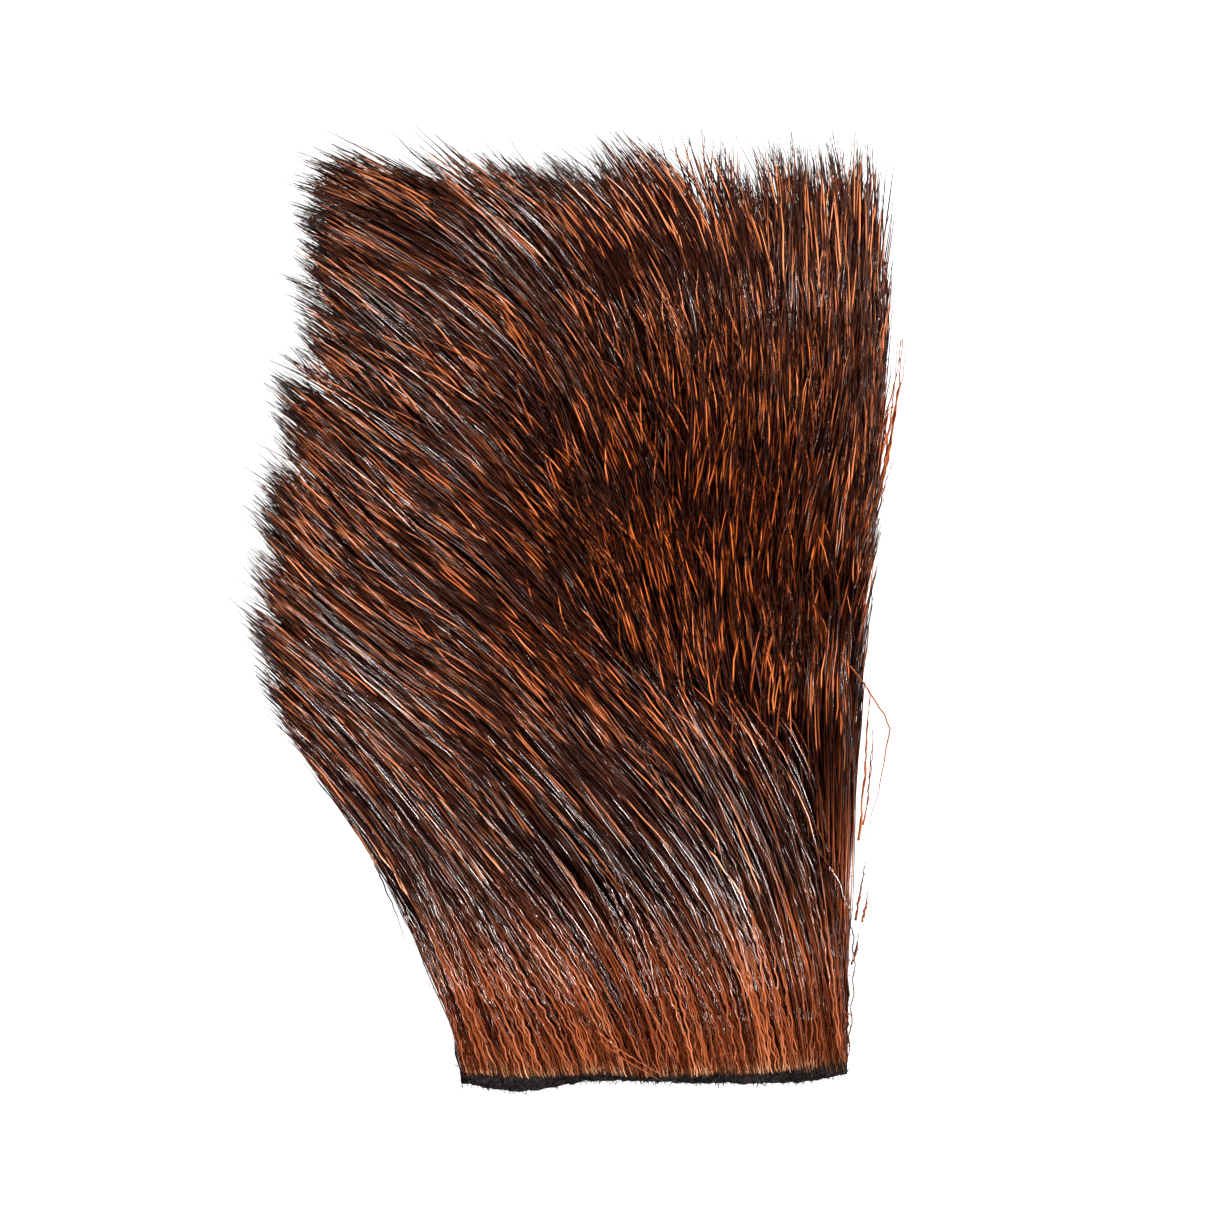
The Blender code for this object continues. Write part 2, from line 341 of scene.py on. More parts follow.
def lean_at(places):
    """The hair's lean at each place, in radians to the left of straight up."""
    by_row = np.array([np.interp(places[:, 0], LEAN_ACROSS, leans) for _, leans in LEAN_ROWS])
    heights = np.array([height for height, _ in LEAN_ROWS])
    i = np.clip(np.searchsorted(heights, places[:, 1]) - 1, 0, len(heights) - 2)
    share = np.clip((places[:, 1] - heights[i]) / (heights[i + 1] - heights[i]), 0.0, 1.0)
    column = np.arange(len(places))
    return np.radians(by_row[i, column] * (1 - share) + by_row[i + 1, column] * share)


def nearest(places, centres):
    """The number of the nearest centre to each place."""
    tree = kdtree.KDTree(len(centres))
    for i, centre in enumerate(centres):
        tree.insert((*centre, 0.0), i)
    tree.balance()
    return np.array([tree.find((*place, 0.0))[1] for place in places])


def walk(roots, turns, lengths, steps):
    """Lines of even steps from the roots along the lie of the hair, each at its own turn from it."""
    places = np.empty((len(roots), steps + 1, 2))
    places[:, 0] = roots
    run = (lengths / steps)[:, None]

    def way(here):
        lean = lean_at(here) + turns
        return np.stack((-np.sin(lean), np.cos(lean)), 1)

    for step in range(steps):
        here = places[:, step]
        places[:, step + 1] = here + way(here + way(here) * run / 2) * run
    return places


def at_shares(lines, shares):
    """Points at shares of the way along lines that have even steps."""
    steps = lines.shape[1] - 1
    i = np.minimum((shares * steps).astype(int), steps - 1)
    part = (shares * steps - i)[:, None]
    return lines[:, i] * (1 - part) + lines[:, i + 1] * part


def spread(chance, count, ring, jitter):
    """Evenly scattered places inside a closed ring, each moved a little at random."""
    low, high = ring.min(axis=0), ring.max(axis=0)
    tries = int(count * np.prod(high - low) / area_of(ring))
    shares = np.arange(tries)[:, None] * EVEN_STEPS_2D % 1.0
    tried = low + shares * (high - low)
    places = tried[inside(tried, ring)]
    return places + chance.normal(0.0, jitter, places.shape)


def away_from(places, ring):
    """How far each place lies outside a closed ring, and 0 inside it."""
    starts = np.array(ring)
    runs = np.roll(starts, -1, axis=0) - starts
    flat = places.reshape(-1, 2)
    nearest_gap = np.full(len(flat), np.inf)
    for start, run in zip(starts, runs):
        share = np.clip((flat - start) @ run / (run @ run), 0.0, 1.0)
        gap = np.hypot(*(flat - start - share[:, None] * run).T)
        nearest_gap = np.minimum(nearest_gap, gap)
    nearest_gap[inside(flat, ring)] = 0.0
    return nearest_gap.reshape(places.shape[:-1])


TUBE_SIDES = 3
# How many levels of warmth the hairs have, and how many shades from dark to light of each; the dark
# shades of hairs low in the coat are painted shade.
WARMTHS, SHADES = 16, 16
COLOUR_BANDS = WARMTHS * SHADES
BAKE_MAP = "OFBake"
# Where a face's corners lie across its colour band, and how far they stay from the map's sides.
QUAD_IN_BAND = (0.3, 0.3, 0.7, 0.7)
END_IN_BAND = (0.3, 0.5, 0.7)
MAP_MARGIN = 0.004


def bands_of(warmth, shade):
    """The numbers of the colour bands for some warmths and shades from 0 to 1."""
    level = np.rint(np.clip(warmth, 0.0, 1.0) * (WARMTHS - 1)).astype(int)
    return level * SHADES + np.rint(np.clip(shade, 0.0, 1.0) * (SHADES - 1)).astype(int)


def tube_corners(lines, radii, rolls):
    """The corners around each point of each line, at that point's radius."""
    runs = np.gradient(lines, axis=1)
    runs /= np.linalg.norm(runs, axis=2, keepdims=True)
    across = np.cross(runs, (0.0, 0.0, 1.0))
    across /= np.maximum(np.linalg.norm(across, axis=2, keepdims=True), 1e-9)
    over = np.cross(across, runs)
    corners = np.empty((*lines.shape[:2], TUBE_SIDES, 3))
    for side in range(TUBE_SIDES):
        turn = rolls[:, None, None] + FULL_TURN * side / TUBE_SIDES
        around = np.cos(turn) * across + np.sin(turn) * over
        corners[:, :, side] = lines + radii[:, :, None] * around
    return corners


def tube_faces(points):
    """The corners of one tube's faces, four for each face along it and then its two ends."""
    side = np.arange(TUBE_SIDES)
    following = (side + 1) % TUBE_SIDES
    rows = np.arange(points - 1)[:, None] * TUBE_SIDES
    beyond = rows + TUBE_SIDES
    quads = np.stack((rows + side, beyond + side, beyond + following, rows + following), 2)
    last = (points - 1) * TUBE_SIDES
    return quads.reshape(-1), np.concatenate((side, last + side[::-1]))


def tube_mesh(name, lines, radii, shares, bands, rolls, parts=(0.0, 1.0)):
    """One mesh of closed three-sided tubes along many lines, all with the same number of points.

    Its UV map has how far along the hair a point is in U, and the hair's colour band in V.
    parts is the stretch of a hair that each tube shows, from one share of the way to another.
    """
    tubes, points = lines.shape[:2]
    corners = tube_corners(lines, radii, rolls)
    quads, ends = tube_faces(points)
    pattern = np.concatenate((quads, ends))
    sizes = np.concatenate((np.full(len(quads) // 4, 4), (TUBE_SIDES, TUBE_SIDES)))
    firsts = np.arange(tubes) * points * TUBE_SIDES
    corner_ids = (firsts[:, None] + pattern).ravel()
    loop_starts = np.concatenate(([0], np.cumsum(np.tile(sizes, tubes))[:-1]))

    mesh = bpy.data.meshes.new(name)
    mesh.vertices.add(corners.size // 3)
    mesh.vertices.foreach_set("co", (corners * MM).ravel())
    mesh.loops.add(len(corner_ids))
    mesh.loops.foreach_set("vertex_index", corner_ids)
    mesh.polygons.add(len(loop_starts))
    mesh.polygons.foreach_set("loop_start", loop_starts)
    mesh.update(calc_edges=True)
    mesh.polygons.foreach_set("use_smooth", np.ones(len(loop_starts), bool))

    low, high = np.broadcast_to(parts, (tubes, 2)).T[:, :, None]
    along_hair = low + (high - low) * shares[pattern // TUBE_SIDES]
    along_hair = np.clip(along_hair, MAP_MARGIN, 1 - MAP_MARGIN)
    in_band = np.concatenate((np.tile(QUAD_IN_BAND, len(quads) // 4), END_IN_BAND, END_IN_BAND))
    across_bands = (bands[:, None] + in_band) / COLOUR_BANDS
    uvs = np.stack((along_hair, across_bands), 2)
    mesh.uv_layers.new(name=BAKE_MAP).data.foreach_set("uv", uvs.ravel())
    return mesh


def placed(name, data):
    """A new object in the scene."""
    made = bpy.data.objects.new(name, data)
    bpy.context.scene.collection.objects.link(made)
    return made


def add_piece(mesh, material, replaced):
    """Makes a mesh a piece of the same name, in place of a CAD node."""
    piece = placed(mesh.name, mesh)
    mesh.materials.append(material)
    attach(piece, "root")
    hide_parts(replaced)
    return piece


def on_frame(places):
    """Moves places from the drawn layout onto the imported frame."""
    moved = np.array(places, float)
    moved[..., :2] += DRAWN_ORIGIN
    return moved


# What differs from one colour band to the next, each with its own draw.
GROUND_DRAW, PLACE_DRAW, BANDED_DRAW, ROUGHNESS_DRAW, GLOSS_DRAW, START_DRAW, END_DRAW = range(7)

PALE_ROOT = (0.44, 0.22, 0.12)
LOW_SHAFT = (0.235, 0.062, 0.022)
PEACH = (0.29, 0.102, 0.045)
BROWN_TIP = (0.05, 0.014, 0.008)
# The dye tints the light that a hair reflects.
REFLECTED = (1.0, 0.4, 0.25, 1.0)

# Where the bright band starts and ends at the least, how much longer it may be at either end, how
# far it moves by chance, and how sharply it ends.
BAND_START = 0.84
LONGER_START = 0.24
BAND_END = 0.89
LONGER_END = 0.07
BAND_MOVE = 0.09
BAND_SHARPNESS = 50.0
# The share of hairs without a bright band where the dye is grey, and where it is deep orange.
UNBANDED_GREY = 0.62
UNBANDED_ORANGE = 0.14
# Where the brown tip of the greyer hairs starts, and how sharply.
TIP_START = 0.88
TIP_SHARPNESS = 8.0

# The weight of the glossy coat along a hair, by the warmth of its dye, and by chance.
GLOSS_ALONG = ((0.0, 1.0), (0.06, 0.7), (0.42, 0.7), (0.6, 1.0), (1.0, 1.0))
GLOSS_BY_WARMTH = ((0.0, 1.0), (0.22, 1.0), (0.42, 0.7), (0.75, 0.0), (1.0, 0.0))
GLOSS_BY_CHANCE = ((0.0, 0.0), (0.35, 0.0), (0.65, 1.0), (1.0, 1.0))

# How many times lighter than the dyed suede its scuffs and its loose fibres are at most.
SCUFFED = 14.0
FADED = 36.0


def ground_colour(look, place, band, colours):
    """A hair's colour apart from its band: pale root, rust shaft, then near black."""
    dark = tuple(colours.dark)
    shaft = tuple(colours.shaft)
    half_way = tuple(0.35 * a + 0.65 * b for a, b in zip(shaft, dark))
    stops = (
        (0.0, PALE_ROOT), (0.03, LOW_SHAFT), (0.17, shaft), (0.36, shaft),
        (0.5, half_way), (0.62, dark), (1.0, dark),
    )
    uneven = (look.chance(band, GROUND_DRAW) - 0.5) * (0.02 + place * 0.4)
    return look.ramp(stops, place + uneven)


def band_share(look, place, band, warmth):
    """1 where a hair has its bright band, and 0 elsewhere and on the hairs without one."""
    moved = place + (look.chance(band, PLACE_DRAW) - 0.5) * BAND_MOVE
    start = BAND_START - look.chance(band, START_DRAW) * (1.0 - warmth) * LONGER_START
    end = look.chance(band, END_DRAW) * LONGER_END + BAND_END
    after_start = ((moved - start) * BAND_SHARPNESS).held()
    before_end = ((end - moved) * BAND_SHARPNESS).held()
    unbanded = UNBANDED_GREY + (UNBANDED_ORANGE - UNBANDED_GREY) * warmth
    return after_start * before_end * (look.chance(band, BANDED_DRAW) > unbanded)


def hair_look(colours):
    """Dyed deer hair with a glossy coat, which fades where the dye is deep orange."""
    made = bpy.data.materials.get("dyed_hair")
    if made:
        return made
    look = Look("dyed_hair")
    place, band = look.bake_place()
    level = (band / SHADES).floor()
    warmth = level / (WARMTHS - 1)
    shade = (band - level * SHADES) / (SHADES - 1)

    ground = ground_colour(look, place, band, colours)
    brown = ((place - TIP_START) * TIP_SHARPNESS).held() * (1.0 - warmth)
    ground = look.mix(brown, ground, (*BROWN_TIP, 1.0))
    bright = look.mix(warmth, (*PEACH, 1.0), (*colours.band, 1.0))
    colour = look.mix(band_share(look, place, band, warmth), ground, bright)

    # A hair's shade sets its lightness, which is partly painted shade for hairs low in the coat. A
    # darker hair is painted redder too, as painted shade tinted by the dyed hairs around it: it keeps
    # less of its green, and still less of its blue.
    brightness = shade * shade * 1.6 + 0.14
    kept = shade * 0.62 + 0.52
    shading = look.colour(brightness, brightness * kept, brightness * kept * kept)
    return look.surface(
        Base_Color=look.mix(1.0, colour, shading, "MULTIPLY"),
        Roughness=look.chance(band, ROUGHNESS_DRAW) * 0.14 + 0.16,
        Specular_IOR_Level=0.1,
        Specular_Tint=REFLECTED,
        Coat_Weight=(
            look.level(GLOSS_ALONG, place)
            * look.level(GLOSS_BY_WARMTH, warmth)
            * look.level(GLOSS_BY_CHANCE, look.chance(band, GLOSS_DRAW))
        ),
        Coat_Roughness=0.15,
        Coat_IOR=1.75,
    )


def lighter(colour, times):
    """A colour that is some times as light, with its alpha."""
    return (*(part * times for part in colour), 1.0)


def suede_look(colours):
    """Black-dyed suede: matte, with a fine nap and greyer scuffs."""
    look = Look("black_suede")
    place = look.node("ShaderNodeTexCoord", output="Object")
    nap = look.noise(2600.0, 4.0, place)
    cloud = look.noise(160.0, 3.0, place)
    scuffs = cloud * 1.4 + nap * 1.2 - 1.05
    colour = look.mix(scuffs, lighter(colours.hide, 1.0), lighter(colours.hide, SCUFFED))
    bump = look.node("ShaderNodeBump", None, {"Strength": 0.6, "Distance": 0.0002, "Height": nap})
    return look.surface(Base_Color=colour, Roughness=1.0, Specular_IOR_Level=0.05, Normal=bump)


def fuzz_look(colours):
    """Loose fibres of the suede's cut edge, some of them greyer towards their ends."""
    look = Look("suede_fuzz")
    place, band = look.bake_place()
    paleness = look.chance(band, GROUND_DRAW)
    paleness = paleness * paleness * place
    colour = look.mix(paleness, lighter(colours.hide, 1.0), lighter(colours.hide, FADED))
    return look.surface(Base_Color=colour, Roughness=0.9, Specular_IOR_Level=0.05)


def hill(places, middle, size):
    """A soft hill over the places, 1 at its middle."""
    return np.exp(-(((places[:, :2] - middle) / size) ** 2).sum(axis=1))


def lower_zone(places):
    """How far each place lies in the lower part of the patch, and how far to its left side."""
    low = 1 - smooth_step(places[:, 1], -22.0, -2.0)
    side = 1 - smooth_step(places[:, 0], -33.0, -17.0)
    return low, side


def warmth_at(places):
    """How saturated the dye looks at each place, from 0, greyish, to 1, deep orange."""
    heart = hill(places, (13.0, 12.0), (28.0, 25.0))
    low, side = lower_zone(places)
    return 0.33 + 0.62 * heart - 0.3 * low * (1 - 0.8 * side)


def paler_at(places):
    """How much lighter the hairs that end at each place are: most of all at the far upper right."""
    corner = smooth_step(places[:, 0], -2.0, 16.0) * smooth_step(places[:, 1], 20.0, 40.0)
    middle = hill(places, (8.0, 6.0), (15.0, 16.0))
    low, side = lower_zone(places)
    return 0.26 * corner + 0.09 * middle - (0.04 + 0.14 * side) * low


def standing_at(places):
    """How far the tips stand up at each place, from 0 to 1: most of all right of the middle."""
    up = smooth_step(places[:, 1], -16.0, 2.0) * (1 - smooth_step(places[:, 1], 26.0, 44.0))
    return smooth_step(places[:, 0], -9.0, 8.0) * up


# How a hair rises from the hide: the share of its height at each share of its full growth.
RISE_PLACES = (0.0, 0.05, 0.12, 0.22, 0.35, 0.5, 0.75, 1.0, 1.2)
RISE_SHARES = (0.0, 0.17, 0.36, 0.57, 0.73, 0.83, 0.89, 0.95, 1.0)
# How deep a root sits in the hide, and how far beyond the hide a hair droops by its full amount.
ROOT_DEPTH = 0.05
DROOP_REACH = 25.0

# A group of hairs. shares are the places of their points, layers runs from 0 at the bottom of the
# coat to 1 on top, turn is how far they turn by chance, in degrees, least the smallest share of full
# growth, swing the least and most of their crimp, and wander how far their points move by chance.
Group = namedtuple("Group", "name pieces shares layers turn least swing wander")

# The share of the hairs that lie low in the coat and have fewer points.
LOW_SHARE = 0.45
LOW_HAIR = Group(
    name="low_hair",
    pieces=2,
    shares=np.array((0.0, 0.3, 0.56, 0.76, 0.9, 1.0)),
    layers=(0.0, LOW_SHARE),
    turn=2.2,
    least=0.8,
    swing=None,
    wander=(0.085, 0.085, 0.05),
)
HAIR_ROW = LOW_HAIR._replace(
    name="hair_row",
    pieces=3,
    shares=np.array((0.0, 0.24, 0.46, 0.62, 0.74, 0.83, 0.895, 0.95, 1.0)),
    layers=(LOW_SHARE, 1.0),
)
FRONT_HAIR = Group(
    name="front_hair",
    pieces=2,
    shares=np.concatenate((np.linspace(0.0, 0.62, 46), np.linspace(0.67, 1.0, 7))),
    layers=(0.0, 1.0),
    turn=4.0,
    least=0.62,
    swing=(0.04, 0.13),
    wander=(0.03, 0.03, 0.02),
)

TUFTS = 1700
LOCKS = 210
# Steps along a hair, and along the line that finds where the coat's outline ends it.
WALK_STEPS, REACH_STEPS = 40, 44

# The roots of each hair's tuft and lock, their turns in radians, how many times as high as others
# they rise, and the share of its length that the lock leaves it.
Gathering = namedtuple("Gathering", "tuft tuft_turn tuft_rise lock lock_turn lock_rise lock_short")


def gathering_of(roots):
    """The tufts and locks of hairs with these roots, the same for every group."""
    guide = np.random.default_rng(SEED)
    ring = ring_of(HIDE_SIDES)
    tufts = spread(guide, TUFTS, ring, 0.5)
    locks = spread(guide, LOCKS, ring, 1.2)
    tuft, lock = nearest(roots, tufts), nearest(roots, locks)
    lock_turns = np.radians(guide.normal(0.0, 2.2, len(locks)))
    tuft_turns = np.radians(guide.normal(0.0, 2.6, len(tufts)))
    tuft_turns += lock_turns[nearest(tufts, locks)]
    lock_rise = 1 + 0.05 * guide.normal(0, 1, len(locks))
    tuft_rise = 1 + 0.03 * guide.normal(0, 1, len(tufts))
    lock_short = 1 - 0.05 * guide.random(len(locks))
    by_tuft = [values[tuft] for values in (tufts, tuft_turns, tuft_rise)]
    by_lock = [values[lock] for values in (locks, lock_turns, lock_rise, lock_short)]
    return Gathering(*by_tuft, *by_lock)


def hair_heights(sizes, gathering, roots, lines, grown, layer, shares):
    """The height of each point: it rises from the hide, droops beyond it and stands up at the tip."""
    rise = sizes.pile_height / MM * gathering.lock_rise * gathering.tuft_rise * (0.84 + 0.2 * layer)
    heights = np.interp(grown, RISE_PLACES, RISE_SHARES) * rise[:, None]
    heights += hide_top(roots)[:, None] - ROOT_DEPTH
    heights -= sizes.droop / MM * (away_from(lines, ring_of(HIDE_SIDES)) / DROOP_REACH) ** 2
    standing = standing_at(lines[:, -1])[:, None] * sizes.standing / MM
    return heights + standing * smooth_step(shares, 0.66, 1.25)


def crimp_lines(chance, roots, lines, reaches, group):
    """Waves hairs of a group to and fro across their lean, and moves their points by chance."""
    pace = FULL_TURN / chance.uniform(1.7, 3.2, len(roots))
    phase = chance.uniform(0, FULL_TURN, len(roots))
    swing = chance.uniform(*group.swing, len(roots)) if group.swing else np.zeros(len(roots))
    crimp = np.sin(reaches * pace[:, None] + phase[:, None]) * swing[:, None]
    lean = lean_at(roots)
    lines[:, :, 0] += crimp * np.cos(lean)[:, None]
    lines[:, :, 1] += crimp * np.sin(lean)[:, None]
    wander = chance.normal(0.0, 1.0, lines.shape) * group.wander
    lines[:, 1:] += wander[:, 1:]


def hair_lines(chance, sizes, roots, group):
    """The lines of hairs, gathered more closely towards their tips, their lengths and layers."""
    full = sizes.hair_length / MM
    shares = group.shares
    gathering = gathering_of(roots)
    turns = np.radians(chance.normal(0.0, group.turn, len(roots))) + gathering.tuft_turn
    lengths = grown_lengths(chance, roots, turns, full, group.least) * gathering.lock_short
    own, with_tuft, with_lock = (
        at_shares(walk(starts, turn, lengths, WALK_STEPS), shares)
        for starts, turn in (
            (roots, turns),
            (gathering.tuft, gathering.tuft_turn),
            (gathering.lock, gathering.lock_turn),
        )
    )
    closeness = chance.uniform(0.0, 1.0, (len(roots), 1, 1))
    lines = own + (with_tuft - own) * sizes.tuft_pull * shares[:, None] ** 2.5 * closeness
    lines += (with_lock - lines) * sizes.lock_pull * shares[:, None] ** 4

    reaches = lengths[:, None] * shares
    layer = chance.uniform(*group.layers, len(roots))
    heights = hair_heights(sizes, gathering, roots, lines, reaches / full, layer, shares)
    lines = np.concatenate((lines, heights[:, :, None]), 2)
    crimp_lines(chance, roots, lines, reaches, group)
    return lines, lengths, layer


def grown_lengths(chance, roots, turns, full, least):
    """Each hair's length: its full growth, or less where the coat's outline ends it."""
    growth = full * np.interp(roots[:, 1], (-52.0, 10.0, 27.0), (1.0, 1.04, 1.12))
    reach = growth * 1.08
    walked = walk(roots, turns, reach, REACH_STEPS)
    held = inside(walked.reshape(-1, 2), TIP_OUTLINE).reshape(len(roots), -1)
    held[:, : REACH_STEPS // 4] = True
    first_out = np.where(held.all(axis=1), REACH_STEPS, np.argmin(held, axis=1))
    to_edge = reach * first_out / REACH_STEPS
    ragged = 1 - 0.14 * chance.random(len(roots)) ** 1.4
    return np.minimum(growth * chance.uniform(least, 1.05, len(roots)), to_edge * ragged)


def hair_radii(chance, sizes, shares, count):
    """Half the thickness at each point: slim at the root, full, then a long fine tip."""
    widths = chance.uniform(0.82, 1.18, count) * sizes.hair_width / MM / 2
    swell = 0.62 + 0.38 * smooth_step(shares, 0.0, 0.12)
    taper = 1 - 0.7 * smooth_step(shares, 0.86, 1.0)
    return widths[:, None] * swell * taper


class PATCH_OT_coat(bpy.types.Operator):
    """Make the coat of single hairs that grows from the hide"""

    bl_idname = "patch.coat"
    bl_label = "Coat of hair"

    # The hairs in each row at the front, and how far the rows lie above the root line.
    FRONT_COUNT = 349
    FRONT_ROWS = (0.0, 0.18)
    # The most roots, the middle and the size of each place that has more hair.
    THICKER = ((1000, (15.0, 11.0), 5.0), (900, (-3.5, 20.5), 5.0), (300, (30.0, 8.0), 4.0))

    def execute(self, context):
        sizes = context.scene.patch_sizes
        look = hair_look(context.scene.patch_colours)
        chance = np.random.default_rng(SEED + 1)
        roots = spread(chance, sizes.hair_count, ring_of((ROOT_LINE, *HIDE_SIDES[1:])), 0.13)
        thicker = [self.thicker(chance, *patch) for patch in self.THICKER]
        roots = np.concatenate((roots, *thicker))
        front = self.lowest_roots(chance)
        low = np.arange(len(roots)) * EVEN_STEP % 1.0 < LOW_SHARE
        for group, rooted in ((LOW_HAIR, roots[low]), (HAIR_ROW, roots[~low]), (FRONT_HAIR, front)):
            self.grow(chance, sizes, look, rooted, group)
        return {"FINISHED"}

    @staticmethod
    def thicker(chance, count, middle, size):
        """More roots around one place, where the hair fans out."""
        tried = chance.normal(middle, size, (count * 4, 2))
        return tried[inside(tried, ring_of(HIDE_SIDES))][:count]

    def lowest_roots(self, chance):
        """Two close rows of roots along the root line, which make it a clean edge."""
        count = self.FRONT_COUNT
        rows = []
        for offset in self.FRONT_ROWS:
            x = np.linspace(ROOT_LINE[0][0], ROOT_LINE[-1][0], count) + chance.normal(0, 0.05, count)
            y = np.interp(x, *np.array(ROOT_LINE).T) + offset + chance.normal(0, 0.07, count)
            rows.append(np.column_stack((x, y)))
        return np.concatenate(rows)

    @staticmethod
    def grow(chance, sizes, look, roots, group):
        """Makes the pieces of one group of hairs, in order from the front to the back."""
        lines, lengths, layer = hair_lines(chance, sizes, roots, group)
        radii = hair_radii(chance, sizes, group.shares, len(roots))
        warmth = warmth_at(lines[:, -1]) + 0.1 * chance.normal(0, 1, len(roots))
        own = chance.random(len(roots))
        # A hair's shade follows its layer: hairs low in the coat are painted darker, as painted shade
        # in the gaps between the top hairs, and own adds a tone at random.
        if group is FRONT_HAIR:
            shade = 0.85 * layer**3 + 0.25 * own
            radii *= 0.88 + 0.39 * layer[:, None]
        else:
            shade = 0.7 * layer + 0.3 * own + paler_at(lines[:, -1])
        bands = bands_of(warmth, shade)
        rolls = chance.uniform(0, FULL_TURN, len(roots))
        grown = lengths / (sizes.hair_length / MM)
        # A hair that is much shorter than full growth shows only the lower part of its colours.
        whole = smooth_step(grown, 0.35, 0.75)
        parts = np.column_stack((0 * grown, whole + (1 - whole) * grown))
        order = np.argsort(roots[:, 1], kind="stable")
        for i, picked in enumerate(np.array_split(order, group.pieces)):
            title = f"{group.name}_{i + 1}"
            piece_lines, piece_radii = on_frame(lines[picked]), radii[picked]
            looks = bands[picked], rolls[picked], parts[picked]
            mesh = tube_mesh(title, piece_lines, piece_radii, group.shares, *looks)
            add_piece(mesh, look, "hair_coat")


Loose = namedtuple("Loose", "strands warmth width low high part points")

# Hairs that stand away from the sides. strands lie side by side, low and high are the heights of
# their ends, and part is the stretch of a hair's colours that each shows.
LOOSE_HAIRS = (
    Loose(5, 0.95, 0.4, 7.0, 9.5, (0.035, 0.08), (
        (32.6, 7.2), (33.9, 11.0), (34.5, 13.8), (34.9, 15.4), (35.3, 17.5), (35.8, 20.2), (36.1, 22.4),
        (36.5, 24.8), (36.6, 27.0), (36.8, 29.2),
    )),
    Loose(4, 0.9, 0.38, 7.2, 9.0, (0.035, 0.08), (
        (33.0, 8.3), (33.6, 12.1), (34.0, 14.9), (34.4, 16.6), (34.9, 18.2), (35.0, 19.8), (35.4, 21.3),
        (35.9, 21.9), (36.1, 21.5),
    )),
    Loose(2, 0.5, 0.27, 6.4, 8.6, (0.1, 0.42), (
        (32.7, 2.8), (33.0, 5.0), (33.5, 7.2), (34.0, 9.9), (34.7, 12.7), (35.2, 14.3), (35.8, 15.8),
    )),
    Loose(3, 0.8, 0.3, 6.6, 8.0, (0.05, 0.15), (
        (31.9, 1.6), (32.6, 4.7), (33.2, 8.2), (33.8, 10.5), (34.2, 13.0),
    )),
    Loose(2, 0.6, 0.29, 7.5, 8.8, (0.035, 0.1), (
        (33.1, 13.7), (33.5, 15.9), (34.0, 18.2), (34.2, 20.4), (34.4, 22.0), (34.5, 23.2),
    )),
    Loose(2, 0.5, 0.29, 5.6, 7.0, (0.2, 0.34), ((31.6, -2.4), (32.1, 0.6), (32.7, 3.3), (32.8, 5.6))),
    Loose(1, 0.85, 0.24, 9.8, 7.0, (0.4, 0.2), (
        (29.9, -5.6), (31.2, -6.9), (32.2, -8.2), (33.2, -9.8), (34.1, -11.0), (34.9, -12.3),
        (35.3, -13.6), (35.0, -15.4), (34.7, -17.6), (34.3, -19.3), (34.0, -20.9), (33.4, -22.8),
        (33.2, -24.8), (32.8, -25.9), (32.2, -27.5),
    )),
    Loose(1, 0.35, 0.25, 6.0, 8.0, (0.2, 0.4), (
        (31.6, -12.2), (31.9, -9.5), (32.2, -7.0), (32.4, -4.8),
    )),
    Loose(2, 0.4, 0.27, 4.6, 8.0, (0.06, 0.38), (
        (32.0, -25.9), (32.3, -23.7), (32.3, -21.5), (32.6, -19.3), (32.7, -16.5), (32.8, -14.3),
        (33.0, -12.1), (33.2, -9.9), (33.1, -6.6),
    )),
    Loose(2, 0.45, 0.18, 4.8, 7.6, (0.06, 0.4), (
        (32.5, -24.2), (32.9, -22.0), (33.1, -19.3), (33.3, -17.1), (33.5, -14.3), (33.6, -11.0),
    )),
    Loose(2, 0.4, 0.27, 3.8, 5.6, (0.2, 0.6), (
        (31.7, -34.7), (32.1, -31.9), (32.5, -29.7), (33.0, -27.8),
    )),
    Loose(2, 0.4, 0.27, 3.6, 5.0, (0.2, 0.5), ((32.4, -34.9), (32.8, -33.0), (33.1, -31.1))),
    Loose(2, 0.45, 0.27, 3.0, 4.4, (0.15, 0.45), ((31.3, -39.6), (31.7, -38.0), (32.1, -35.8))),
    Loose(1, 0.6, 0.29, 2.4, 3.4, (0.05, 0.3), ((30.0, -44.6), (30.8, -45.0), (31.4, -45.2))),
    Loose(1, 0.6, 0.22, 2.4, 2.8, (0.05, 0.3), ((30.5, -45.6), (31.2, -46.5))),
    Loose(1, 0.95, 0.22, 6.5, 4.2, (0.85, 0.85), (
        (-22.3, -26.1), (-21.5, -28.0), (-20.7, -29.7), (-19.8, -31.9), (-19.0, -33.8), (-18.3, -35.8),
        (-17.7, -37.6),
    )),
    Loose(2, 0.5, 0.29, 3.6, 4.6, (0.2, 0.35), ((-15.4, -39.3), (-16.2, -38.0), (-16.9, -37.0))),
    Loose(2, 0.9, 0.25, 2.0, 4.4, (0.03, 0.2), (
        (-11.7, -50.3), (-12.0, -48.7), (-12.5, -46.8), (-13.1, -45.1), (-13.8, -43.7), (-14.5, -42.6),
        (-15.4, -41.6),
    )),
    Loose(1, 0.6, 0.25, 5.0, 2.3, (0.3, 0.1), (
        (3.1, -46.8), (5.7, -49.0), (8.5, -50.7), (10.1, -51.6), (11.0, -51.9),
    )),
    Loose(1, 0.75, 0.25, 4.6, 2.2, (0.26, 0.08), (
        (3.5, -47.9), (6.3, -50.1), (9.0, -51.7), (9.9, -52.2),
    )),
    Loose(1, 0.55, 0.27, 4.6, 4.8, (0.1, 0.2), ((16.7, -49.5), (17.3, -49.3), (18.0, -49.3))),
    Loose(2, 0.6, 0.25, 2.0, 4.6, (0.03, 0.3), (
        (-11.9, -49.5), (-12.5, -47.4), (-13.4, -44.9), (-14.4, -41.7), (-15.2, -40.4), (-15.8, -39.3),
    )),
)


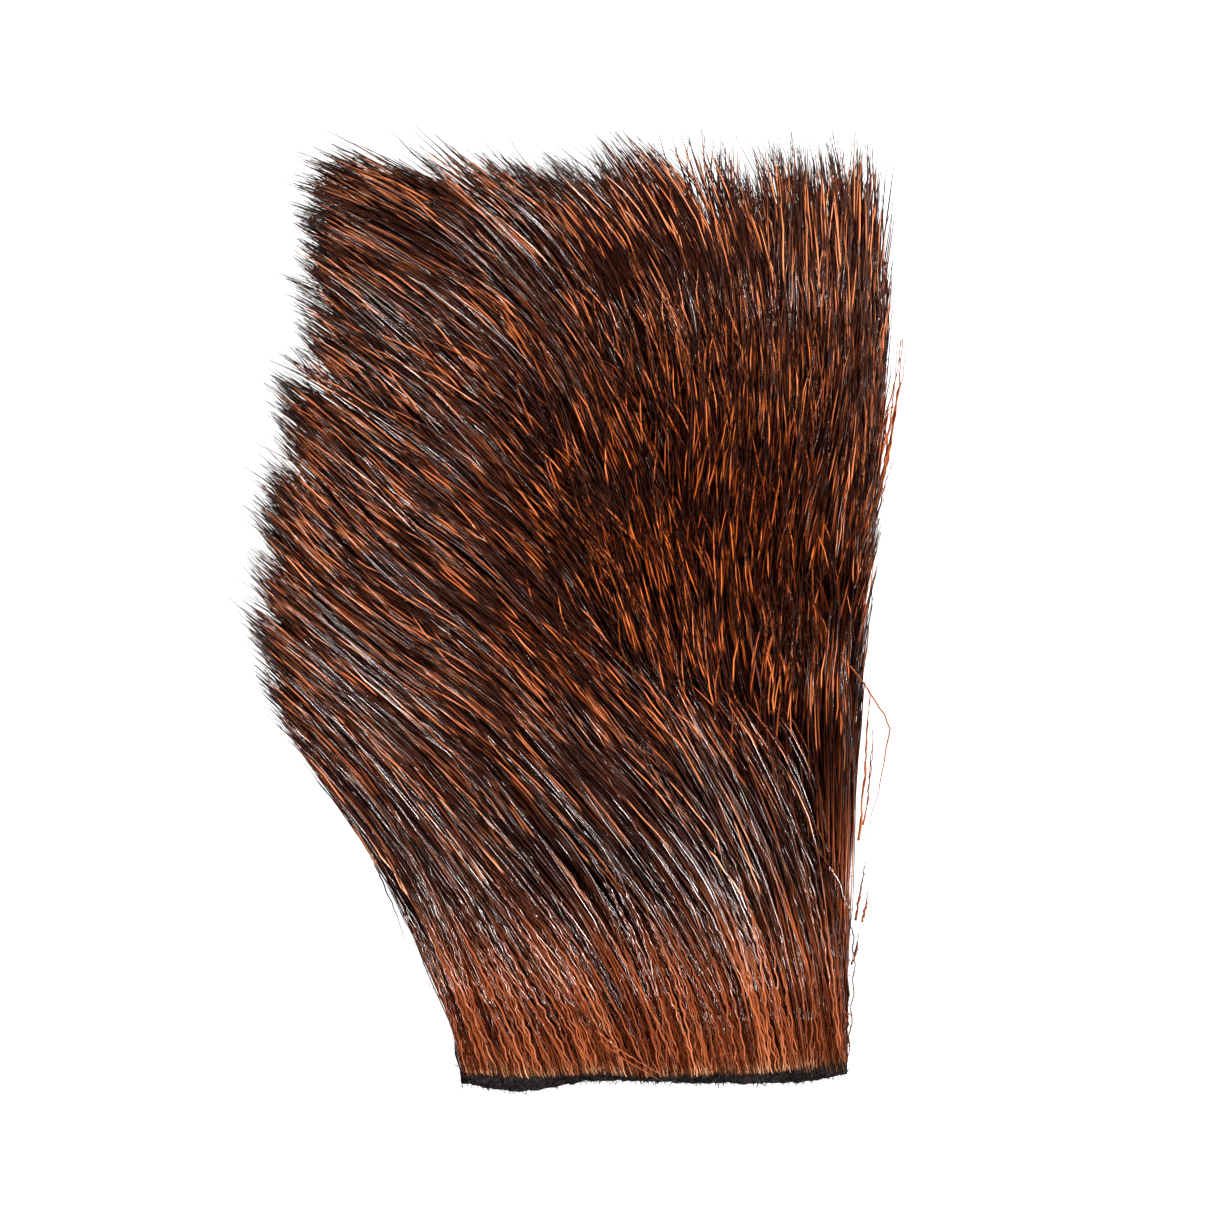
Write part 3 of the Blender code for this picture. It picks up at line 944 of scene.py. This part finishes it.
class PATCH_OT_strays(bpy.types.Operator):
    """Make the loose hairs that stand away from the sides of the coat"""

    bl_idname = "patch.strays"
    bl_label = "Loose hairs"

    POINTS = 28
    WANDER = (0.05, 0.03, 0.05)

    def execute(self, context):
        chance = np.random.default_rng(SEED + 3)
        shares = np.linspace(0.0, 1.0, self.POINTS)
        lines, radii, hairs = [], [], []
        taper = 1 - 0.7 * smooth_step(shares, 0.3, 1.0)
        for hair in LOOSE_HAIRS:
            path = along(hair.points, shares)
            heights = hair.low + (hair.high - hair.low) * shares
            for strand in range(hair.strands):
                line = np.column_stack((path, heights))
                line[1:-1] += chance.normal(0.0, 1.0, (self.POINTS - 2, 3)) * self.WANDER
                aside = strand * chance.uniform(0.14, 0.24)
                line[:, 0] -= aside * np.cos(1.4 * strand + 4.0 * shares) + 0.5 * aside
                lines.append(line)
                radii.append(hair.width / 2 * taper * (1.0 if strand == 0 else 0.8))
                hairs.append(hair)
        shades = chance.uniform(0.55, 0.95, len(hairs))
        bands = bands_of([hair.warmth for hair in hairs], shades)
        rolls = chance.uniform(0, FULL_TURN, len(lines))
        parts = [hair.part for hair in hairs]
        lines, radii = on_frame(lines), np.array(radii)
        mesh = tube_mesh("loose_hairs", lines, radii, shares, bands, rolls, parts)
        add_piece(mesh, hair_look(context.scene.patch_colours), "hair_coat")
        return {"FINISHED"}


class PATCH_OT_stubs(bpy.types.Operator):
    """Make the short pale hairs that stand at the root line"""

    bl_idname = "patch.stubs"
    bl_label = "Short root hairs"

    COUNT = 420
    SHARES = np.linspace(0.0, 1.0, 5)
    STEPS = 8
    RADIUS = 0.055

    def execute(self, context):
        chance = np.random.default_rng(SEED + 4)
        x = chance.uniform(ROOT_LINE[0][0], ROOT_LINE[-1][0], self.COUNT)
        y = np.interp(x, *np.array(ROOT_LINE).T) + chance.uniform(-0.1, 1.6, self.COUNT)
        roots = np.column_stack((x, y))
        turns = np.radians(chance.normal(0.0, 7.0, self.COUNT))
        lengths = chance.uniform(0.9, 2.4, self.COUNT)
        lines = at_shares(walk(roots, turns, lengths, self.STEPS), self.SHARES)
        rise = lengths[:, None] * self.SHARES * chance.uniform(0.5, 0.9, (self.COUNT, 1))
        heights = hide_top(roots)[:, None] + rise
        lines = np.concatenate((lines, heights[:, :, None]), 2)
        radii = self.RADIUS * (1 - 0.7 * self.SHARES) * chance.uniform(0.7, 1.2, (self.COUNT, 1))
        warmth = chance.uniform(0.2, 0.8, self.COUNT)
        bands = bands_of(warmth, chance.uniform(0.5, 1.0, self.COUNT))
        rolls = chance.uniform(0, FULL_TURN, self.COUNT)
        mesh = tube_mesh("root_stubs", on_frame(lines), radii, self.SHARES, bands, rolls, (0.0, 0.05))
        add_piece(mesh, hair_look(context.scene.patch_colours), "hair_coat")
        return {"FINISHED"}


class PATCH_OT_hide(bpy.types.Operator):
    """Make the cut sheet of black suede hide under the hair"""

    bl_idname = "patch.hide"
    bl_label = "Hide"

    COLUMNS = 90
    ROWS = 50
    RAGGED = 0.07

    def execute(self, context):
        places = self.places()
        flat = places.reshape(-1, 2)
        top = hide_top(flat)
        upper, under = (on_frame(np.column_stack((flat, height))) for height in (top, 0 * top))
        mesh = self.sheet_mesh(upper, under)
        piece = add_piece(mesh, suede_look(context.scene.patch_colours), "hide")
        return {"FINISHED"}

    def places(self):
        """Places in rows over the hide, inside its four sides, with a slightly ragged cut."""
        chance = np.random.default_rng(SEED + 5)
        across = np.linspace(0, 1, self.COLUMNS + 1)
        up = np.linspace(0, 1, self.ROWS + 1)
        lower, upper = along(HIDE_LOWER_EDGE, across), along(HIDE_UPPER_EDGE, across)
        left, right = along(HIDE_LEFT_EDGE, up), along(HIDE_RIGHT_EDGE, up)
        s, t = across[None, :, None], up[:, None, None]
        rows = (1 - t) * lower[None] + t * upper[None]
        columns = (1 - s) * left[:, None] + s * right[:, None]
        lower_corners = (1 - s) * lower[0] + s * lower[-1]
        upper_corners = (1 - s) * upper[0] + s * upper[-1]
        places = rows + columns - ((1 - t) * lower_corners + t * upper_corners)
        for end in (0, -1):
            places[end, 1:-1, 1] += chance.normal(0.0, self.RAGGED, self.COLUMNS - 1)
        for end in (0, -1):
            places[1:-1, end, 0] += chance.normal(0.0, self.RAGGED, self.ROWS - 1)
        return places

    def sheet_mesh(self, top, under):
        """A closed mesh between two grids of places."""
        wide = self.COLUMNS + 1
        grid = np.arange(wide * (self.ROWS + 1)).reshape(self.ROWS + 1, wide)
        faces = []
        for row in range(self.ROWS):
            for column in range(self.COLUMNS):
                near, far = grid[row : row + 2, column : column + 2]
                ring = [*near, *far[::-1]]
                faces.append(ring)
                faces.append([i + grid.size for i in reversed(ring)])
        rim = np.concatenate((grid[0, :-1], grid[:-1, -1], grid[-1, :0:-1], grid[:0:-1, 0]))
        for here, there in zip(rim, np.roll(rim, -1)):
            faces.append([here + grid.size, there + grid.size, there, here])
        mesh = bpy.data.meshes.new("hide_sheet")
        corners = np.concatenate((top, under)) * MM
        mesh.from_pydata(corners.tolist(), [], [[int(i) for i in face] for face in faces])
        mesh.update()
        return mesh


class PATCH_OT_fuzz(bpy.types.Operator):
    """Make the loose suede fibres along the hide's cut edges"""

    bl_idname = "patch.fuzz"
    bl_label = "Fuzz of the cut edge"

    SHARES = np.linspace(0.0, 1.0, 4)
    RADIUS = 0.048
    # For each side of the hide: how many fibres, the way they point, and how deep they may start.
    SIDES = (
        (1200, (0, -1), 1.5), (340, (-1, 0), 0.7), (220, (0, 1), 0.7), (260, (1, 0), 0.7),
    )

    def execute(self, context):
        chance = np.random.default_rng(SEED + 6)
        starts, outward = [], []
        for side, (count, way, deepest) in zip(HIDE_SIDES, self.SIDES):
            shares = chance.random(count)
            depth = chance.random(count) ** 1.5 * deepest
            places = along(side, shares) - np.array(way) * depth[:, None]
            low = np.where(depth < 0.12, chance.random(count), 1.0)
            starts.append(np.column_stack((places, hide_top(places) * low)))
            outward.append(np.tile(way, (count, 1)))
        starts, outward = np.concatenate(starts), np.concatenate(outward)
        count = len(starts)
        level = outward * chance.uniform(-0.2, 1.0, (count, 1))
        aim = np.column_stack((level, chance.uniform(0.1, 0.9, count)))
        aim += chance.normal(0.0, 0.55, aim.shape)
        aim /= np.linalg.norm(aim, axis=1, keepdims=True)
        lengths = chance.uniform(0.3, 0.9, count) * (1 + 1.2 * chance.random(count) ** 8)
        lines = starts[:, None] + aim[:, None] * (lengths[:, None] * self.SHARES)[:, :, None]
        lines[:, 1:] += chance.normal(0.0, 0.07, (count, 3, 3))
        lines[:, :, 2] = np.maximum(lines[:, :, 2], 0.04)
        radii = self.RADIUS * (1 - 0.6 * self.SHARES) * chance.uniform(0.7, 1.3, (count, 1))
        bands = chance.integers(0, COLOUR_BANDS, count)
        rolls = chance.uniform(0, FULL_TURN, count)
        mesh = tube_mesh("edge_fuzz", on_frame(lines), radii, self.SHARES, bands, rolls)
        add_piece(mesh, fuzz_look(context.scene.patch_colours), "hide")
        return {"FINISHED"}


class PATCH_OT_stage(bpy.types.Operator):
    """Add the pale floor, the soft lights and the camera above the patch"""

    bl_idname = "patch.stage"
    bl_label = "Floor, lights and camera"

    # The photo's frame in pixels, the millimetres that a pixel shows, and the place at its middle.
    PHOTO_PIXELS = 1216
    PIXEL = 0.11
    PHOTO_MIDDLE = (4.4, -0.3)
    # In metres: the camera's height, and the height in the coat that the frame's size holds for.
    CAMERA_HEIGHT = 2.0
    FRAMED_HEIGHT = 0.006
    SENSOR = 36.0
    WORLD_STRENGTH = 0.03
    FLOOR_GREY = (0.3, 0.3, 0.3, 1.0)
    FLOOR_GLOW = 0.97
    WHITE = (1.0, 1.0, 1.0, 1.0)
    # The name, place in metres, width in metres and watts of each light.
    LIGHTS = (
        ("left_light", (-0.41, -0.39, 0.38), 0.13, 5.8),
        ("right_light", (0.5, 0.06, 0.38), 0.12, 8.0),
        ("back_light", (0.33, 0.42, 0.42), 0.13, 5.5),
        ("front_light", (0.0, -0.4, 0.46), 0.12, 3.0),
    )

    def execute(self, context):
        scene = context.scene
        scene.view_settings.view_transform = "Standard"
        self.add_floor()
        for light in self.LIGHTS:
            self.add_light(*light)
        world = bpy.data.worlds.new("studio")
        world.use_nodes = True
        background = world.node_tree.nodes["Background"]
        background.inputs["Color"].default_value = self.WHITE
        background.inputs["Strength"].default_value = self.WORLD_STRENGTH
        scene.world = world
        self.add_camera(scene)
        return {"FINISHED"}

    def add_floor(self):
        bpy.ops.mesh.primitive_plane_add(size=4.0, location=(0.0, 0.0, 0.0))
        floor = bpy.context.object
        floor.name = "floor"
        material = Look("pale_floor").surface(
            Base_Color=self.FLOOR_GREY,
            Roughness=1.0,
            Specular_IOR_Level=0.0,
            Emission_Color=self.WHITE,
            Emission_Strength=self.FLOOR_GLOW,
        )
        floor.data.materials.append(material)

    @staticmethod
    def add_light(name, place, size, power):
        data = bpy.data.lights.new(name, "AREA")
        data.shape = "DISK"
        data.size = size
        data.energy = power
        light = placed(name, data)
        light.location = place
        light.rotation_euler = Vector(place).to_track_quat("Z", "Y").to_euler()

    def add_camera(self, scene):
        data = bpy.data.cameras.new("camera")
        data.sensor_width = self.SENSOR
        shown = self.PHOTO_PIXELS * self.PIXEL * MM
        data.lens = self.SENSOR * (self.CAMERA_HEIGHT - self.FRAMED_HEIGHT) / shown
        camera = placed("camera", data)
        middle = on_frame(self.PHOTO_MIDDLE) * MM
        camera.location = (*middle, self.CAMERA_HEIGHT)
        scene.camera = camera


class PATCH_PT_panel(bpy.types.Panel):
    """Lists the sizes, the colours and the steps of the patch"""

    bl_idname = "PATCH_PT_panel"
    bl_label = "Hair Patch"
    bl_space_type = "VIEW_3D"
    bl_region_type = "UI"
    bl_category = "Hair Patch"

    def draw(self, context):
        layout = self.layout
        for group in (context.scene.patch_sizes, context.scene.patch_colours):
            for name in group.bl_rna.properties.keys():
                if name not in {"rna_type", "name"}:
                    layout.prop(group, name)
        for step in STEPS:
            layout.operator(step.bl_idname)


STEPS = (
    PATCH_OT_stage, PATCH_OT_hide, PATCH_OT_fuzz, PATCH_OT_coat, PATCH_OT_stubs, PATCH_OT_strays,
)
CLASSES = (PatchSizes, PatchColours, *STEPS, PATCH_PT_panel)


def register():
    for each in CLASSES:
        bpy.utils.register_class(each)
    bpy.types.Scene.patch_sizes = bpy.props.PointerProperty(type=PatchSizes)
    bpy.types.Scene.patch_colours = bpy.props.PointerProperty(type=PatchColours)


def unregister():
    del bpy.types.Scene.patch_colours
    del bpy.types.Scene.patch_sizes
    for each in reversed(CLASSES):
        bpy.utils.unregister_class(each)


def main():
    register()
    bpy.ops.patch.stage()
    bpy.ops.patch.hide()
    bpy.ops.patch.fuzz()
    bpy.ops.patch.coat()
    bpy.ops.patch.stubs()
    bpy.ops.patch.strays()


if __name__ == "__main__":
    main()
